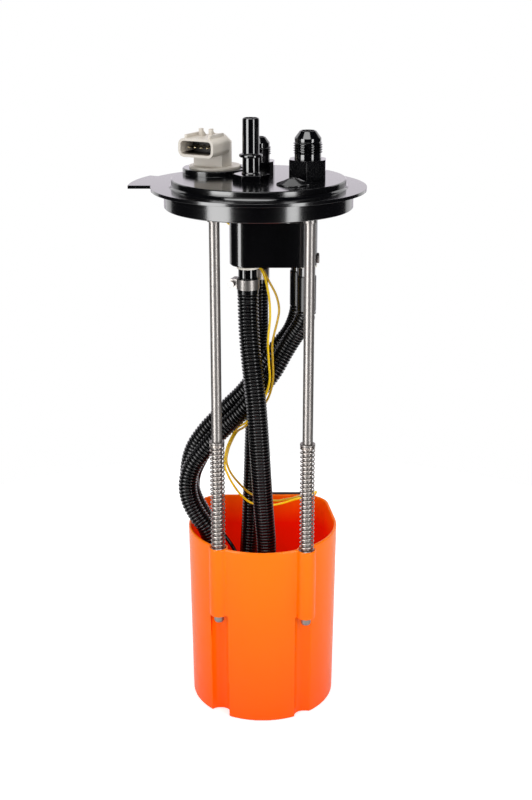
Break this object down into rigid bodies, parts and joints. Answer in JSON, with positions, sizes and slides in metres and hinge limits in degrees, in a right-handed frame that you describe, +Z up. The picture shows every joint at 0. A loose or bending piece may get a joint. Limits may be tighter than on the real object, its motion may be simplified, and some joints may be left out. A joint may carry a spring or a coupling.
{
  "type": "in-tank fuel lift pump module",
  "caption": "Fuel pump module with a round ported tank cover, two guide rods with springs, corrugated hoses and a sliding reservoir bucket that holds the pump and a level float.",
  "frame": {"origin": "cover's axis at the underside of its lip, where the lip rests on the tank", "axes": "+Z up out of the tank along the cover's axis, -Y to the front of the picture, +X to its right"},
  "size_m": [0.1825, 0.165, 0.4863],
  "materials": {
    "anodised": "gloss black anodised aluminium",
    "steel": "bright stainless steel",
    "connector_plastic": "warm grey moulded plastic",
    "contact_brass": "satin brass",
    "seal_rubber": "matte black rubber",
    "hose_black": "gloss black corrugated plastic",
    "black_plastic": "satin black plastic",
    "yellow_wire": "yellow insulation",
    "ochre_wire": "ochre insulation",
    "orange_plastic": "satin orange moulded plastic",
    "natural_plastic": "natural white plastic",
    "magnet": "dark ferrite and carbon",
    "winding": "copper winding on a steel stack"
  },
  "bodies": {
    "cover": {"cover_plate": "anodised", "connector_housing": "connector_plastic", "connector_pins": "contact_brass", "connector_seal": "seal_rubber", "vent_valve_body": "anodised", "quick_connect_stem": "anodised", "draw_fitting": "anodised", "return_fitting": "anodised", "fitting_seals": "seal_rubber", "port_manifold": "anodised", "manifold_screws": "steel", "gallery_plug": "steel", "manifold_barbs": "anodised", "barb_washers": "natural_plastic", "upper_hose_ends": "hose_black", "upper_hose_clamps": "steel", "guide_rod_left": "steel", "guide_rod_right": "steel", "rod_nuts": "steel", "spring_stops": "steel", "rod_clips": "steel", "spring_left": "steel", "spring_right": "steel", "supply_hose": "hose_black", "return_hose": "hose_black", "draw_hose": "hose_black", "wiring_loom": "hose_black", "pump_cable": "black_plastic", "sender_wire_yellow": "yellow_wire", "sender_wire_ochre": "ochre_wire"},
    "bucket": {"bucket": "orange_plastic", "pump_can": "steel", "pump_top_cap": "black_plastic", "pump_inlet_cover": "steel", "chamber_plate": "steel", "pump_bushes": "contact_brass", "magnets": "magnet", "brushes": "magnet", "check_spring": "steel", "pump_sleeve": "seal_rubber", "pump_bracket": "natural_plastic", "pump_strainer": "natural_plastic", "jet_pump": "natural_plastic", "draw_pickup": "natural_plastic", "umbrella_valve": "seal_rubber", "lower_hose_ends": "hose_black", "lower_hose_clamps": "steel", "pump_plug": "black_plastic", "sender_housing": "black_plastic", "sender_card": "natural_plastic"},
    "rotor": {"motor_shaft": "steel", "armature": "winding", "commutator": "contact_brass", "impeller": "natural_plastic"},
    "outlet_check": {"check_poppet": "contact_brass"},
    "vent_plunger": {"vent_float": "natural_plastic"},
    "level_arm": {"float_hub": "connector_plastic", "float_arm": "steel", "float": "black_plastic"}
  },
  "joints": [
    {"name": "bucket_slide", "type": "slide", "parent": "cover", "child": "bucket", "axis": [0, 0, 1], "range_m": [0, 0.055], "stiffness_N_per_m": 820, "springref_m": -0.03, "deforming": ["spring_left", "spring_right", "supply_hose", "return_hose", "draw_hose", "wiring_loom", "pump_cable", "sender_wire_yellow", "sender_wire_ochre"]},
    {"name": "float_swing", "type": "hinge", "parent": "bucket", "child": "level_arm", "pos_m": [0.016, 0.067, -0.2995], "axis": [0, 1, 0], "range_deg": [0, 100]},
    {"name": "rotor_spin", "type": "hinge", "parent": "bucket", "child": "rotor", "pos_m": [0.01, 0.004, -0.4], "axis": [0, 0, 1], "continuous": true},
    {"name": "check_lift", "type": "slide", "parent": "bucket", "child": "outlet_check", "axis": [0, 0, 1], "range_m": [0, 0.002], "stiffness_N_per_m": 60, "springref_m": -0.004, "deforming": ["check_spring"]},
    {"name": "vent_lift", "type": "slide", "parent": "cover", "child": "vent_plunger", "axis": [0, 0, 1], "range_m": [0, 0.005]}
  ]
}
